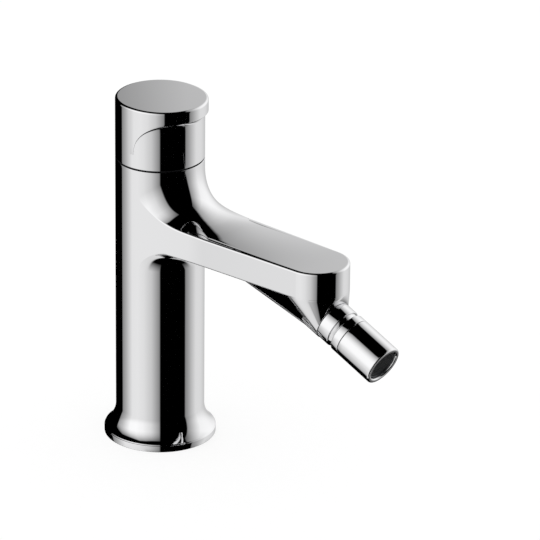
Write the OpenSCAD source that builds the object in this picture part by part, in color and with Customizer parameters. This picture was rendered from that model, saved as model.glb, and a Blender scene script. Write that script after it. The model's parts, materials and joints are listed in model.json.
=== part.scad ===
// Single-lever bidet mixer: a column on a flared foot with a level spout, a ball-jointed nozzle
// and a lifting, turning handle over a ceramic cartridge.
// Millimetres, +Z up, origin on the column's axis at the deck, spout towards -Y.

/* [Column] */
// Diameter of the column and of the handle above it
column_d = 46; // [44:0.5:52]
// Height of the seam between column and handle
seam_z = 154.4; // [150:0.1:175]
// Diameter of the foot
foot_d = 58.1; // [54:0.1:66]
// Height of the foot's upright rim
foot_rim_h = 3.6; // [3:0.1:6]
// Radius of the hollow flare between foot and column
foot_flare_r = 15.7; // [12:0.1:24]
// Diameter of the hose well inside the column
well_d = 38; // [34:0.5:39]
// Height of the hose well
well_h = 96; // [80:1:100]
// Width of the gasket under the foot
gasket_w = 4; // [3:0.1:5]
// Thickness of the gasket
gasket_t = 1.8; // [1:0.1:2.5]

/* [Spout] */
// Height of the spout's flat top
spout_top_z = 126.7; // [122:0.1:128]
// Thickness of the spout
spout_t = 15.4; // [13:0.1:17]
// Distance from the column's axis to the centre of the rounded tip
tip_reach = 106.4; // [100:0.1:125]
// Radius of the rounded tip
tip_r = 16.75; // [15:0.05:18]
// Taper of each side of the spout, in degrees
side_taper = 1.565; // [0.5:0.005:1.8]
// Radius of the hollow curve that leads each side into the column
side_arc_r = 290; // [200:5:400]
// Reach of the blend on the spout's top
top_blend_l = 33; // [28:0.5:36]
// Rise of the blend on the spout's top
top_blend_h = 22; // [16:0.5:24]
// How gently the top blend runs out on the flat, 2 for a plain ellipse
top_blend_tail = 3.2; // [2:0.1:4]
// Reach of the blend under the spout
under_blend_l = 10; // [6:0.5:14]
// Drop of the blend under the spout
under_blend_h = 9; // [5:0.5:12]
// How strongly the blend narrows towards the sides, 0 to 1
blend_fullness = 0.5; // [0.3:0.05:0.7]
// Width of the water channel in the spout
channel_w = 26; // [16:0.5:27]
// Height of the water channel in the spout
channel_h = 10; // [6:0.5:10.5]
// Distance from the column's axis to the start of the fairing under the spout
fairing_start = 58; // [50:0.5:64]
// Radius of the fairing's keel where it meets the boss
keel_r = 5; // [3:0.5:8]

/* [Outlet] */
// Tilt of the outlet below the horizontal, in degrees
outlet_tilt = 24; // [18:0.5:30]
// Distance of the boss face's centre ahead of the tip's centre
boss_ahead = 10.9; // [8:0.1:12.6]
// Drop of the boss face's centre below the spout
boss_drop = 13.6; // [12.3:0.1:16.3]
// Diameter of the boss
boss_d = 22; // [21.6:0.1:24]
// Diameter of the collar
collar_d = 21.4; // [21:0.1:22]
// Visible length of the collar
collar_l = 7.3; // [6.5:0.1:8]
// Diameter of the swivel ball
ball_d = 20.2; // [19.6:0.05:20.4]
// Distance of the ball's centre inside the collar's mouth
ball_inset = 2.7; // [2.4:0.1:3]
// Gap between collar and nozzle
swivel_gap = 2.5; // [2.4:0.1:3.5]
// Diameter of the nozzle
nozzle_d = 21.8; // [21.4:0.1:23]
// Length of the shoulder ring behind the nozzle's sleeve
shoulder_l = 4.5; // [3:0.1:6]
// Length of the nozzle's sleeve
sleeve_l = 22.6; // [20:0.1:30]
// Diameter of the nozzle's mouth
mouth_d = 16.7; // [15:0.1:17]
// Depth of the mesh behind the mouth's rim
mesh_depth = 1.5; // [1:0.1:1.8]
// Spacing of the mesh wires
mesh_pitch = 1.35; // [1.1:0.05:2]
// Width of a mesh wire
mesh_wire = 0.45; // [0.3:0.05:0.6]

/* [Handle] */
// Height of the handle above the seam
handle_h = 32.8; // [30:0.1:40]
// How far the finger lip stands proud at the front
lip_out = 2.6; // [1.5:0.1:4]
// Height of the finger lip
lip_h = 8.5; // [6:0.1:12]
// Half of the angle over which the lip's lower edge is level, in degrees
lip_flat_angle = 42; // [30:1:50]
// Angle from the front at which the finger recess ends, in degrees
recess_end_angle = 80; // [70:1:85]
// Height over which the recess rounds down at each end
recess_round_h = 13; // [8:0.5:16]
// Thickness of the handle's side wall
handle_wall = 3.5; // [3:0.1:4]
// Thickness of the handle's roof
handle_roof = 4.2; // [3:0.1:6]
// Height of the lever's pivot above the seam
pivot_rise = 12; // [11:0.1:13]
// Lift of the handle, in degrees
lift_angle = 18; // [12:1:20]

/* [Cartridge] */
// Diameter of the cartridge
cartridge_d = 25; // [24.6:0.1:25.4]
// Height of the lever's pivot above the cartridge's seat
cartridge_h = 40.4; // [39:0.1:42]
// Length of the lever's lower arm
lever_arm = 18; // [17:0.1:19]
// Diameter of the hot and cold ports
port_d = 5; // [4:0.1:5.2]
// Sideways distance of the hot and cold ports from the axis
port_x = 5.5; // [5.2:0.1:6]
// Distance of the hot and cold ports behind the axis
port_back = 4.5; // [4:0.1:5]
// Distance of the mixed-water port in front of the axis
mixed_port_front = 6; // [5.5:0.1:6.5]
// Diameter of the threaded hose inlets, at the thread's crest
inlet_d = 9; // [8:0.1:10]
// Sideways distance of each hose inlet from the axis
inlet_x = 8.5; // [8:0.1:9]
// Diameter of the seal face round each hose inlet
inlet_face_d = 11; // [10.4:0.1:11.4]
// Depth of the hose inlets and of the stud hole
inlet_depth = 12; // [10:0.5:13]
// Diameter of the threaded hole for the fixing stud, at the thread's crest
stud_d = 6.8; // [5:0.1:8]
// Diameter of the spot face round the stud hole
stud_face_d = 10; // [9:0.1:11]
// Distance of the stud hole behind the axis
stud_back = 13; // [12:0.1:13.4]
// Depth of the faces round the inlets and the stud hole
face_depth = 1; // [0.8:0.1:1.5]

/* [Clearances] */
// Gap in the ball-shaped seam between column and handle
seam_gap = 0.3; // [0.3:0.05:0.5]
// Gap round a turning or sliding piece
run_gap = 0.1; // [0.05:0.01:0.15]
// Gap round a piece that sits still in its seat
seat_gap = 0.1; // [0.05:0.01:0.15]
// Gap between the two ceramic discs
disc_gap = 0.05; // [0.02:0.01:0.1]

/* [Hidden] */
$fn = 96;
eps = 0.05;
deep = 1;

column_r = column_d / 2;
foot_r = foot_d / 2;
flare_drop = sqrt(pow(foot_flare_r, 2) - pow(column_r + foot_flare_r - foot_r, 2));
flare_top_z = foot_rim_h + flare_drop;
well_r = well_d / 2;
gasket_inset = 2;
gasket_in_r = foot_r - gasket_inset - gasket_w;

handle_top_z = seam_z + handle_h;
pivot_z = seam_z + pivot_rise;
cup_r = sqrt(pow(column_r, 2) + pow(pivot_rise, 2));
skirt_r = cup_r - seam_gap;
cavity_r = column_r - handle_wall;
roof_z = handle_top_z - handle_roof;

spout_mid_z = spout_top_z - spout_t / 2;
spout_under_z = spout_top_z - spout_t;
side_line = tip_r + tip_reach * sin(side_taper);
side_run = sqrt(pow(column_r + side_arc_r, 2) - pow(side_line + side_arc_r, 2));
arc_s = (side_line + side_arc_r) * sin(side_taper) + side_run * cos(side_taper);
arc_x = (side_line + side_arc_r) * cos(side_taper) - side_run * sin(side_taper);
arc_end_s = arc_s - side_arc_r * sin(side_taper);
root_x = column_r - deep;
join_s = 2 * arc_s * column_r / (column_r + side_arc_r);
join_x = arc_x - sqrt(pow(side_arc_r, 2) - pow(join_s - arc_s, 2));
arc_steps = 12;
blend_steps = 24;
blend_levels = 12;
plain_tail = 2;
side_steps = 5;
wrap_r = column_r + 3 * eps;
tip_steps = 36;
tip_facets = 64;
fairing_facets = 40;
keel_inset = 0.4;

boss_reach = tip_reach + boss_ahead;
boss_z = spout_under_z - boss_drop;
boss_r = boss_d / 2;
collar_r = collar_d / 2;
ball_r = ball_d / 2;
nozzle_r = nozzle_d / 2;
mouth_r = mouth_d / 2;
ball_a = collar_l - ball_inset;
shoulder_a = collar_l + swivel_gap;
sleeve_gap = 0.2;
sleeve_a = shoulder_a + shoulder_l + sleeve_gap;
mouth_a = sleeve_a + sleeve_l;
ball_tail = 6.2;
ball_cut_a = ball_a - ball_tail;
outlet_bore_r = 4.5;
collar_ledge = 1.1;
spigot_r = collar_r - collar_ledge;
spigot_wall = 1;
spigot_in_r = spigot_r - spigot_wall;
spigot_l = 7;
boss_bore_depth = 9;
boss_pipe_l = 34;
seat_back_a = -6;
seat_front_a = -0.5;
sleeve_wall = 1.5;
sleeve_bore_r = nozzle_r - sleeve_wall;
thread_gap = 0.2;
thread_r = sleeve_bore_r - thread_gap;
thread_l = 5.7;
mouth_lip_l = 2.6;
mouth_round_r = 0.8;
washer_t = 1.5;
mesh_t = 0.6;
mesh_rim_w = 0.65;
mesh_a = mouth_a - mesh_depth - mesh_t;

cartridge_r = cartridge_d / 2;
seat_z = pivot_z - cartridge_h;
base_h = 4;
disc_t = 3;
fixed_disc_z = seat_z + base_h;
moving_disc_z = fixed_disc_z + disc_t + disc_gap;
driver_z = moving_disc_z + disc_t;
driver_flange_t = 2.1;
driver_gap = 0.4;
housing_wall = 1.1;
housing_step_z = driver_z + driver_flange_t + driver_gap;
housing_shoulder_z = housing_step_z + housing_wall;
housing_in_r = cartridge_r - housing_wall;
neck_step = 1.6;
neck_r = cartridge_r - neck_step;
neck_wall = 0.9;
neck_in_r = neck_r - neck_wall;
nut_ledge = 2;
nut_r = cartridge_r + nut_ledge;
nut_h = 4;
nut_gap = 0.1;
nut_z = housing_shoulder_z + nut_gap;
tip_ball_r = 3;
tip_z = pivot_z - lever_arm;
driver_top_z = tip_z + tip_ball_r + run_gap;
slide_half = lever_arm * lift_angle * PI / 360;
slide_gap = 0.25;
disc_r = housing_in_r - slide_half - slide_gap;
disc_rim_w = 2.5;
driver_boss_r = 4.6;
guide_r = 7.5;
guide_lift = 0.7;
guide_flange_z = driver_top_z + guide_lift;
guide_flange_t = 1.8;
guide_side_gap = 0.3;
guide_flange_r = neck_in_r - guide_side_gap;
guide_rise = 4;
guide_top_z = pivot_z + guide_rise;
guide_roof_gap = 0.2;
housing_roof_z = guide_flange_z + guide_flange_t + guide_roof_gap;
housing_roof_t = 2.2;
spindle_w = 6;
spindle_top_gap = 1;
spindle_top_z = roof_z - spindle_top_gap;
spindle_arm_r = 2.2;
slot_l = 12.4;
pin_r = 1.5;
pin_press_gap = 0.02;
pin_run_gap = 0.03;
pin_inset = 0.8;
socket_r = 7;
socket_rise = 7.6;
socket_bottom_z = pivot_z + socket_rise;
screw_r = 2.1;
screw_proud = 0.5;
screw_key_depth = 2;
screw_z = (socket_bottom_z + roof_z) / 2;
plug_r = 2.75;
seal_t = 1.2;
seal_w = 1.2;
seal_clear = 0.2;
seal_r = port_d / 2 + seal_clear + seal_w;
o_ring_r = 0.75;
collar_ring_r = 0.5;
glide_t = 1;
glide_inset = 1.5;
glide_w = 3;
glide_out_r = column_r - glide_inset;
glide_in_r = glide_out_r - glide_w;

// Half-width of the spout at a distance s from the column's axis: it starts inside the column,
// follows the hollow curve and then the straight taper
function half_width(s) =
    s < join_s ? root_x + (join_x - root_x) * s / join_s
    : s < arc_end_s ? arc_x - sqrt(pow(side_arc_r, 2) - pow(s - arc_s, 2))
    : (side_line - s * sin(side_taper)) / cos(side_taper);

// Side of the spout as plan points, from inside the column to the straight taper
function side_curve(side) = concat([[side * root_x, 0]], [
    for (i = [0 : arc_steps])
        let (s = join_s + (arc_end_s - join_s) * i / arc_steps)
            [side * half_width(s), -s]
]);

// Order of a list turned round
function reversed(list) = [for (i = [len(list) - 1 : -1 : 0]) list[i]];

// Point of a blend ring, kept within the wider of a circle of radius r round the column's axis and
// the spout's sides less an inset
function blend_point(s, x, z, r, inset) =
    let (limit = max(half_width(max(s, 0)) - inset, s < r ? sqrt(pow(r, 2) - pow(s, 2)) : 0))
        [max(-limit, min(limit, x)), -s, z];

// One level of the blend: its front stands the given reach off a circle of radius r, and its back
// lies inside the column
function blend_ring(reach, z, r, inset) =
    let (front = [
            for (i = [0 : blend_steps])
                let (a = 180 * i / blend_steps - 90,
                    s = reach * (1 - blend_fullness * (1 - cos(a))) + r * cos(a))
                        blend_point(s, r * sin(a), z, r, inset)
        ],
        side_s = reach * (1 - blend_fullness) + deep,
        flank = [
            for (j = [0 : side_steps - 1])
                blend_point(side_s * j / side_steps - deep, -r, z, r, inset)
        ])
    concat(flank, front, [for (p = reversed(flank)) [-p[0], p[1], z]]);

// Solid through a stack of rings that have the same number of points, lowest first
module loft(rings) {
    n = len(rings[0]);
    m = len(rings);
    walls = [
        for (k = [0 : m - 2], i = [0 : n - 1])
            let (j = (i + 1) % n)
                each [
                    [k * n + i, (k + 1) * n + j, k * n + j],
                    [k * n + i, (k + 1) * n + i, (k + 1) * n + j]
                ]
    ];
    floor_face = [for (i = [0 : n - 1]) i];
    roof_face = [for (i = [n - 1 : -1 : 0]) (m - 1) * n + i];
    polyhedron([for (r = rings, p = r) p], concat([floor_face, roof_face], walls));
}

// Blend between the column and the spout's flat at flat_z, above it or, with a negative rise, below
// it: an ellipse whose end on the flat is drawn out by a tail above 2
module blend(flat_z, reach, rise, tail) {
    side = sign(rise);
    sunk = blend_ring(reach, flat_z - side * deep, column_r - deep, deep);
    levels = [
        for (i = [0 : blend_levels - 1])
            let (b = 90 - 90 * i / blend_levels,
                off = reach * (1 - pow(cos(b), 2 / tail)))
                    blend_ring(off, flat_z + rise * (1 - sin(b)) - side * eps, wrap_r, eps)
    ];
    closing = blend_ring(0, flat_z + rise, column_r - deep, deep);
    rings = concat([sunk], levels, [closing]);
    loft(rise > 0 ? rings : reversed(rings));
}

// Frame of the outlet: origin at the centre of the boss face, +Z out along the nozzle
module at_outlet() {
    translate([0, -boss_reach, boss_z])
        rotate([90 + outlet_tilt, 0, 0])
            children();
}

// Round bar along the outlet between two distances from the boss face
module outlet_bar(r, from, to) {
    translate([0, 0, from])
        cylinder(r = r, h = to - from);
}

// Upright ring
module ring(out_r, in_r, h) {
    difference() {
        cylinder(r = out_r, h = h);
        translate([0, 0, -deep])
            cylinder(r = in_r, h = h + 2 * deep);
    }
}

// Ring of round section
module round_ring(mid_r, section_r) {
    rotate_extrude()
        translate([mid_r, 0])
            circle(section_r, $fn = 48);
}

// Places its children at the hot, cold and mixed ports
module at_ports() {
    translate([-port_x, port_back, 0])
        children();
    translate([port_x, port_back, 0])
        children();
    translate([0, -mixed_port_front, 0])
        children();
}

// Places its children at the rest position of the sliding disc
module at_slider() {
    translate([0, slide_half, 0])
        children();
}

// Plan of the spout: hollow sides that run out of the column, straight tapered sides, round tip
module spout_plan() {
    tip = [
        for (i = [0 : tip_steps])
            let (a = side_taper + (180 - 2 * side_taper) * i / tip_steps)
                [tip_r * cos(a), -(tip_reach + tip_r * sin(a))]
    ];
    polygon(concat(side_curve(1), tip, reversed(side_curve(-1))));
}

module column() {
    rotate_extrude() {
        square([column_r, seam_z + deep]);
        difference() {
            square([foot_r, flare_top_z]);
            translate([column_r + foot_flare_r, flare_top_z])
                circle(foot_flare_r);
        }
    }
}

// Round plate just above the spout's underside, for a hull to start from
module under_disc(reach, r) {
    translate([0, -reach, spout_under_z])
        cylinder(r = r, h = deep, $fn = tip_facets);
}

// Underside of the spout: a cone from the tip to the boss, and a keel that rises from the boss's
// bottom to the start of the fairing
module fairing() {
    hull() {
        at_outlet()
            outlet_bar(boss_r - eps, -deep, 0, $fn = fairing_facets);
        under_disc(tip_reach, tip_r - 2 * eps);
    }
    hull() {
        at_outlet()
            translate([0, keel_r - boss_r + keel_inset, 0])
                outlet_bar(keel_r, -2 * deep, -deep, $fn = fairing_facets);
        under_disc(tip_reach, tip_r - deep);
        under_disc(fairing_start + tip_r, tip_r - keel_inset);
    }
}

// Blind hole in the well's roof with a wider flat face round its mouth
module faced_hole(hole_d, face_d) {
    translate([0, 0, -deep]) {
        cylinder(r = hole_d / 2, h = inlet_depth + deep);
        cylinder(r = face_d / 2, h = face_depth + deep);
    }
}

module well_and_inlets() {
    translate([0, 0, -deep])
        cylinder(r = well_r, h = well_h + deep);
    translate([0, 0, -deep])
        ring(gasket_in_r + gasket_w + seat_gap, gasket_in_r - seat_gap, gasket_t + deep);
    for (side = [-1, 1])
        translate([side * inlet_x, port_back, well_h])
            faced_hole(inlet_d, inlet_face_d);
    translate([0, stud_back, well_h])
        faced_hole(stud_d, stud_face_d);
}

module water_ways() {
    inlet_top_z = well_h + inlet_depth;
    for (side = [-1, 1])
        translate([side * port_x, port_back, inlet_top_z - deep])
            cylinder(r = port_d / 2, h = seat_z - inlet_top_z + 2 * deep);
    translate([0, -mixed_port_front, spout_mid_z])
        cylinder(r = port_d / 2, h = seat_z - spout_mid_z + deep);
    translate([-channel_w / 2, -tip_reach + tip_r / 2, spout_mid_z - channel_h / 2])
        cube([channel_w, tip_reach - tip_r / 2 - column_r, channel_h]);
    translate([0, -mixed_port_front + port_d / 2, spout_mid_z])
        rotate([90, 0, 0])
            cylinder(r = port_d / 2, h = column_r);
    at_outlet() {
        outlet_bar(spigot_r + seat_gap / 2, -boss_bore_depth, deep);
        outlet_bar(outlet_bore_r, -(spout_mid_z - boss_z) / sin(outlet_tilt), deep);
    }
}

module cartridge_pocket() {
    translate([0, 0, seat_z])
        cylinder(r = cartridge_r + seat_gap, h = pivot_z - seat_z);
    translate([0, 0, housing_shoulder_z])
        cylinder(r = nut_r + seat_gap, h = pivot_z - housing_shoulder_z);
    translate([0, 0, pivot_z]) {
        sphere(cup_r);
        intersection() {
            sphere(cup_r + glide_t + seat_gap);
            translate([0, 0, -cup_r])
                ring(glide_out_r + seat_gap, glide_in_r - seat_gap, cup_r);
        }
    }
}

module mixer_body() {
    color("gainsboro")
        difference() {
            union() {
                column();
                translate([0, 0, spout_under_z])
                    linear_extrude(spout_t)
                        spout_plan();
                blend(spout_top_z, top_blend_l, top_blend_h, top_blend_tail);
                blend(spout_under_z, under_blend_l, -under_blend_h, plain_tail);
                fairing();
                at_outlet()
                    outlet_bar(boss_r, -boss_pipe_l, 0);
            }
            well_and_inlets();
            water_ways();
            cartridge_pocket();
        }
}

module base_gasket() {
    color("dimgray")
        ring(gasket_in_r + gasket_w, gasket_in_r, gasket_t);
}

module cartridge_base() {
    color("whitesmoke")
        translate([0, 0, seat_z])
            difference() {
                cylinder(r = cartridge_r - seat_gap, h = base_h);
                at_ports() {
                    translate([0, 0, -deep])
                        cylinder(r = port_d / 2, h = base_h + 2 * deep);
                    translate([0, 0, -deep])
                        cylinder(r = seal_r + seat_gap, h = seal_t + deep);
                }
                translate([0, 0, base_h / 2])
                    round_ring(cartridge_r - o_ring_r, o_ring_r + seat_gap);
            }
}

module inlet_seals() {
    color("black")
        translate([0, 0, seat_z])
            at_ports()
                ring(seal_r, seal_r - seal_w, seal_t);
}

module cartridge_o_ring() {
    color("black")
        translate([0, 0, seat_z + base_h / 2])
            round_ring(cartridge_r - o_ring_r, o_ring_r);
}

module fixed_disc() {
    color("ivory")
        translate([0, 0, fixed_disc_z])
            difference() {
                cylinder(r = housing_in_r - run_gap, h = disc_t);
                at_ports()
                    translate([0, 0, -deep])
                        cylinder(r = port_d / 2, h = disc_t + 2 * deep);
            }
}

module moving_disc() {
    color("ivory")
        at_slider()
            translate([0, 0, moving_disc_z])
                difference() {
                    cylinder(r = disc_r, h = disc_t);
                    translate([0, 0, -deep])
                        cylinder(r = disc_r - disc_rim_w, h = disc_t / 2 + deep);
                }
}

module disc_driver() {
    socket_r = tip_ball_r + run_gap;
    floor_gap = 0.3;
    color("white")
        at_slider()
            difference() {
                union() {
                    translate([0, 0, driver_z])
                        cylinder(r = disc_r, h = driver_flange_t);
                    translate([0, 0, driver_z])
                        cylinder(r = driver_boss_r, h = driver_top_z - driver_z);
                }
                translate([0, 0, tip_z - tip_ball_r - floor_gap])
                    cylinder(r = socket_r, h = driver_top_z);
            }
}

module cartridge_housing() {
    roof_top_z = housing_roof_z + housing_roof_t;
    color("white")
        difference() {
            union() {
                translate([0, 0, fixed_disc_z])
                    cylinder(r = cartridge_r, h = housing_shoulder_z - fixed_disc_z);
                translate([0, 0, fixed_disc_z])
                    cylinder(r = neck_r, h = roof_top_z - fixed_disc_z);
            }
            translate([0, 0, fixed_disc_z - deep])
                cylinder(r = housing_in_r, h = housing_step_z - fixed_disc_z + deep);
            translate([0, 0, fixed_disc_z])
                cylinder(r = neck_in_r, h = housing_roof_z - fixed_disc_z);
            translate([0, 0, housing_roof_z - deep])
                cylinder(r = guide_r + run_gap, h = housing_roof_t + 2 * deep);
        }
}

module cartridge_nut() {
    notch_w = 3;
    notch_d = 1.5;
    color("goldenrod")
        translate([0, 0, nut_z])
            difference() {
                ring(nut_r, neck_r + seat_gap, nut_h);
                for (turn = [0 : 90 : 270])
                    rotate(turn)
                        translate([nut_r - notch_d, -notch_w / 2, nut_h / 2])
                            cube([notch_d + deep, notch_w, nut_h]);
            }
}

module rotary_guide() {
    slot_w = spindle_w + 4 * run_gap;
    color("white")
        difference() {
            union() {
                translate([0, 0, guide_flange_z])
                    cylinder(r = guide_flange_r, h = guide_flange_t);
                translate([0, 0, guide_flange_z])
                    cylinder(r = guide_r, h = guide_top_z - guide_flange_z);
            }
            translate([-slot_w / 2, -slot_l / 2, guide_flange_z - deep])
                cube([slot_w, slot_l, guide_top_z - guide_flange_z + 2 * deep]);
            translate([0, 0, pivot_z])
                rotate([0, 90, 0])
                    cylinder(r = pin_r, h = 2 * column_r, center = true);
        }
}

module pivot_pin() {
    pin_l = 2 * (guide_r - pin_inset);
    color("silver")
        translate([0, 0, pivot_z])
            rotate([0, 90, 0])
                cylinder(r = pin_r - pin_press_gap, h = pin_l, center = true);
}

module lever_spindle() {
    hub_r = spindle_w / 2;
    color("silver")
        translate([0, 0, pivot_z])
            difference() {
                union() {
                    translate([-hub_r, -hub_r, 0])
                        cube([spindle_w, spindle_w, spindle_top_z - pivot_z]);
                    rotate([0, 90, 0])
                        cylinder(r = hub_r, h = spindle_w, center = true);
                    rotate([180 + lift_angle / 2, 0, 0]) {
                        cylinder(r = spindle_arm_r, h = lever_arm);
                        translate([0, 0, lever_arm])
                            sphere(tip_ball_r);
                    }
                }
                rotate([0, 90, 0])
                    cylinder(r = pin_r + pin_run_gap, h = 2 * spindle_w, center = true);
            }
}

module glide_ring() {
    color("dimgray")
        translate([0, 0, pivot_z])
            difference() {
                intersection() {
                    sphere(cup_r + glide_t);
                    translate([0, 0, -cup_r])
                        ring(glide_out_r, glide_in_r, cup_r);
                }
                sphere(cup_r);
            }
}

// Plan of the handle's lip: the column's circle moved forward, with straight flanks
module lip_plan() {
    flank = column_r - eps;
    translate([0, -lip_out])
        circle(column_r);
    translate([-flank, -lip_out])
        square([2 * flank, lip_out]);
}

// Front outline of the finger recess: level under the lip, rounded down at each end
module recess_outline() {
    round_steps = 10;
    low_z = -lip_h - recess_round_h;
    right = [
        for (i = [0 : round_steps])
            let (a = 90 - 90 * i / round_steps,
                turn = lip_flat_angle + (recess_end_angle - lip_flat_angle) * cos(a))
                    [column_r * sin(turn), low_z + recess_round_h * sin(a)]
    ];
    wide = [column_r + deep, low_z];
    foot = [column_r + deep, -handle_h - deep];
    left = [for (p = reversed(concat(right, [wide, foot]))) [-p[0], p[1]]];
    polygon(concat(right, [wide, foot], left));
}

module handle_outside() {
    translate([0, 0, pivot_z])
        cylinder(r = column_r, h = handle_top_z - pivot_z);
    intersection() {
        translate([0, 0, pivot_z - skirt_r])
            cylinder(r = column_r, h = skirt_r + deep);
        translate([0, 0, pivot_z])
            sphere(skirt_r);
    }
    difference() {
        translate([0, 0, handle_top_z - lip_h - recess_round_h])
            linear_extrude(lip_h + recess_round_h)
                lip_plan();
        translate([0, 0, handle_top_z])
            rotate([90, 0, 0])
                linear_extrude(column_d)
                    recess_outline();
    }
}

// Round bar towards the back of the handle at the height of its screw
module rear_bar(r, from, to) {
    translate([0, from, screw_z])
        rotate([-90, 0, 0])
            cylinder(r = r, h = to - from);
}

module handle_shell() {
    socket_w = spindle_w + seat_gap;
    color("gainsboro")
        difference() {
            union() {
                difference() {
                    handle_outside();
                    translate([0, 0, pivot_z - cup_r])
                        cylinder(r = cavity_r, h = roof_z - pivot_z + cup_r);
                }
                translate([0, 0, socket_bottom_z])
                    cylinder(r = socket_r, h = roof_z - socket_bottom_z + deep);
            }
            translate([-socket_w / 2, -socket_w / 2, socket_bottom_z - deep])
                cube([socket_w, socket_w, roof_z - socket_bottom_z + deep]);
            rear_bar(screw_r + seat_gap / 2, 0, socket_r + deep);
            rear_bar(plug_r + seat_gap, cavity_r - deep, column_r + deep);
        }
}

module handle_screw() {
    color("silver")
        difference() {
            rear_bar(screw_r, spindle_w / 2, socket_r + screw_proud);
            rear_bar(screw_r / 2, socket_r + screw_proud - screw_key_depth, socket_r + deep, $fn = 6);
        }
}

module screw_plug() {
    color("gainsboro")
        intersection() {
            rear_bar(plug_r, cavity_r, column_r + deep);
            translate([0, 0, roof_z - 2 * column_r])
                cylinder(r = column_r, h = 3 * column_r);
        }
}

module swivel_collar() {
    color("gainsboro")
        at_outlet()
            difference() {
                union() {
                    outlet_bar(collar_r, 0, collar_l);
                    outlet_bar(spigot_r, -spigot_l, deep);
                }
                outlet_bar(spigot_in_r, -spigot_l - deep, 0);
                translate([0, 0, ball_a])
                    sphere(ball_r + run_gap);
            }
}

module collar_o_ring() {
    ring_a = -(spigot_l + boss_bore_depth) / 2;
    color("black")
        at_outlet()
            translate([0, 0, ring_a])
                round_ring(spigot_r - collar_ring_r, collar_ring_r);
}

module seat_cushion() {
    cushion_r = spigot_r - 2 * collar_ring_r - 2 * seat_gap;
    bore_clear = 0.5;
    color("black")
        at_outlet()
            translate([0, 0, -boss_bore_depth])
                ring(cushion_r, outlet_bore_r + bore_clear, boss_bore_depth + seat_back_a - seat_gap);
}

module ball_seat() {
    bore_clear = 1;
    color("white")
        at_outlet()
            difference() {
                outlet_bar(spigot_in_r - run_gap, seat_back_a, seat_front_a);
                translate([0, 0, ball_a])
                    sphere(ball_r + run_gap);
                outlet_bar(outlet_bore_r + bore_clear, seat_back_a - deep, deep);
            }
}

module swivel_ball() {
    color("gainsboro")
        at_outlet()
            difference() {
                union() {
                    intersection() {
                        translate([0, 0, ball_a])
                            sphere(ball_r);
                        outlet_bar(ball_d, ball_cut_a, shoulder_a + deep);
                    }
                    outlet_bar(nozzle_r, shoulder_a, shoulder_a + shoulder_l);
                    outlet_bar(thread_r, shoulder_a, sleeve_a + thread_l);
                }
                outlet_bar(outlet_bore_r, ball_cut_a - deep, sleeve_a + thread_l + deep);
            }
}

// Half-section of the nozzle's sleeve, with its rim rounded inside and out
module sleeve_section() {
    round_steps = 6;
    lip_a = mouth_a - mouth_lip_l;
    out_c = [nozzle_r - mouth_round_r, mouth_a - mouth_round_r];
    in_c = [mouth_r + mouth_round_r, mouth_a - mouth_round_r];
    turns = [for (i = [0 : round_steps]) 90 * i / round_steps];
    rim = concat(
        [for (a = turns) out_c + mouth_round_r * [cos(a), sin(a)]],
        [for (a = turns) in_c + mouth_round_r * [-sin(a), cos(a)]]
    );
    polygon(concat([[sleeve_bore_r, sleeve_a], [nozzle_r, sleeve_a]], rim,
        [[mouth_r, lip_a], [sleeve_bore_r, lip_a]]));
}

module nozzle_sleeve() {
    color("gainsboro")
        at_outlet()
            rotate_extrude()
                sleeve_section();
}

module aerator_washer() {
    color("black")
        at_outlet()
            translate([0, 0, sleeve_a + thread_l])
                ring(sleeve_bore_r - seat_gap, outlet_bore_r, washer_t);
}

module aerator_body() {
    back_a = sleeve_a + thread_l + washer_t;
    lip_a = mouth_a - mouth_lip_l - seat_gap;
    inside_r = mouth_r - seat_gap - mesh_rim_w;
    color("white")
        at_outlet()
            difference() {
                union() {
                    outlet_bar(sleeve_bore_r - seat_gap, back_a, lip_a);
                    outlet_bar(mouth_r - seat_gap, back_a, mesh_a);
                }
                outlet_bar(inside_r, back_a + washer_t, mesh_a + deep);
                outlet_bar(outlet_bore_r, back_a - deep, mesh_a + deep);
            }
}

module aerator_jet_disc() {
    disc_a = sleeve_a + thread_l + 2 * washer_t;
    disc_r = mouth_r - 2 * seat_gap - mesh_rim_w;
    jet_r = 0.8;
    jet_count = 10;
    jet_ring_r = 0.75 * outlet_bore_r;
    color("lightgray")
        at_outlet()
            translate([0, 0, disc_a])
                difference() {
                    cylinder(r = disc_r, h = 2 * washer_t);
                    for (i = [0 : jet_count - 1])
                        rotate(360 * i / jet_count)
                            translate([jet_ring_r, 0, -deep])
                                cylinder(r = jet_r, h = 2 * washer_t + 2 * deep, $fn = 24);
                }
}

module aerator_mesh() {
    rim_r = mouth_r - seat_gap;
    count = floor(rim_r / mesh_pitch);
    color("dimgray")
        at_outlet()
            translate([0, 0, mesh_a]) {
                ring(rim_r, rim_r - mesh_rim_w, mesh_t);
                intersection() {
                    cylinder(r = rim_r - mesh_rim_w / 2, h = mesh_t);
                    for (turn = [0, 90], i = [-count : count])
                        rotate(turn)
                            translate([i * mesh_pitch - mesh_wire / 2, -rim_r, 0])
                                cube([mesh_wire, 2 * rim_r, mesh_t]);
                }
            }
}

mixer_body();
base_gasket();
cartridge_base();
inlet_seals();
cartridge_o_ring();
fixed_disc();
moving_disc();
disc_driver();
cartridge_housing();
cartridge_nut();
rotary_guide();
pivot_pin();
lever_spindle();
glide_ring();
handle_shell();
handle_screw();
screw_plug();
swivel_collar();
collar_o_ring();
seat_cushion();
ball_seat();
swivel_ball();
nozzle_sleeve();
aerator_washer();
aerator_body();
aerator_jet_disc();
aerator_mesh();
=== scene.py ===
"""Bidet mixer in polished chrome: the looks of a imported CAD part, built around its frame."""

import json
import math

import bmesh
import bpy
from bpy.props import FloatProperty, FloatVectorProperty, PointerProperty
from mathutils import Matrix, Vector


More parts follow.
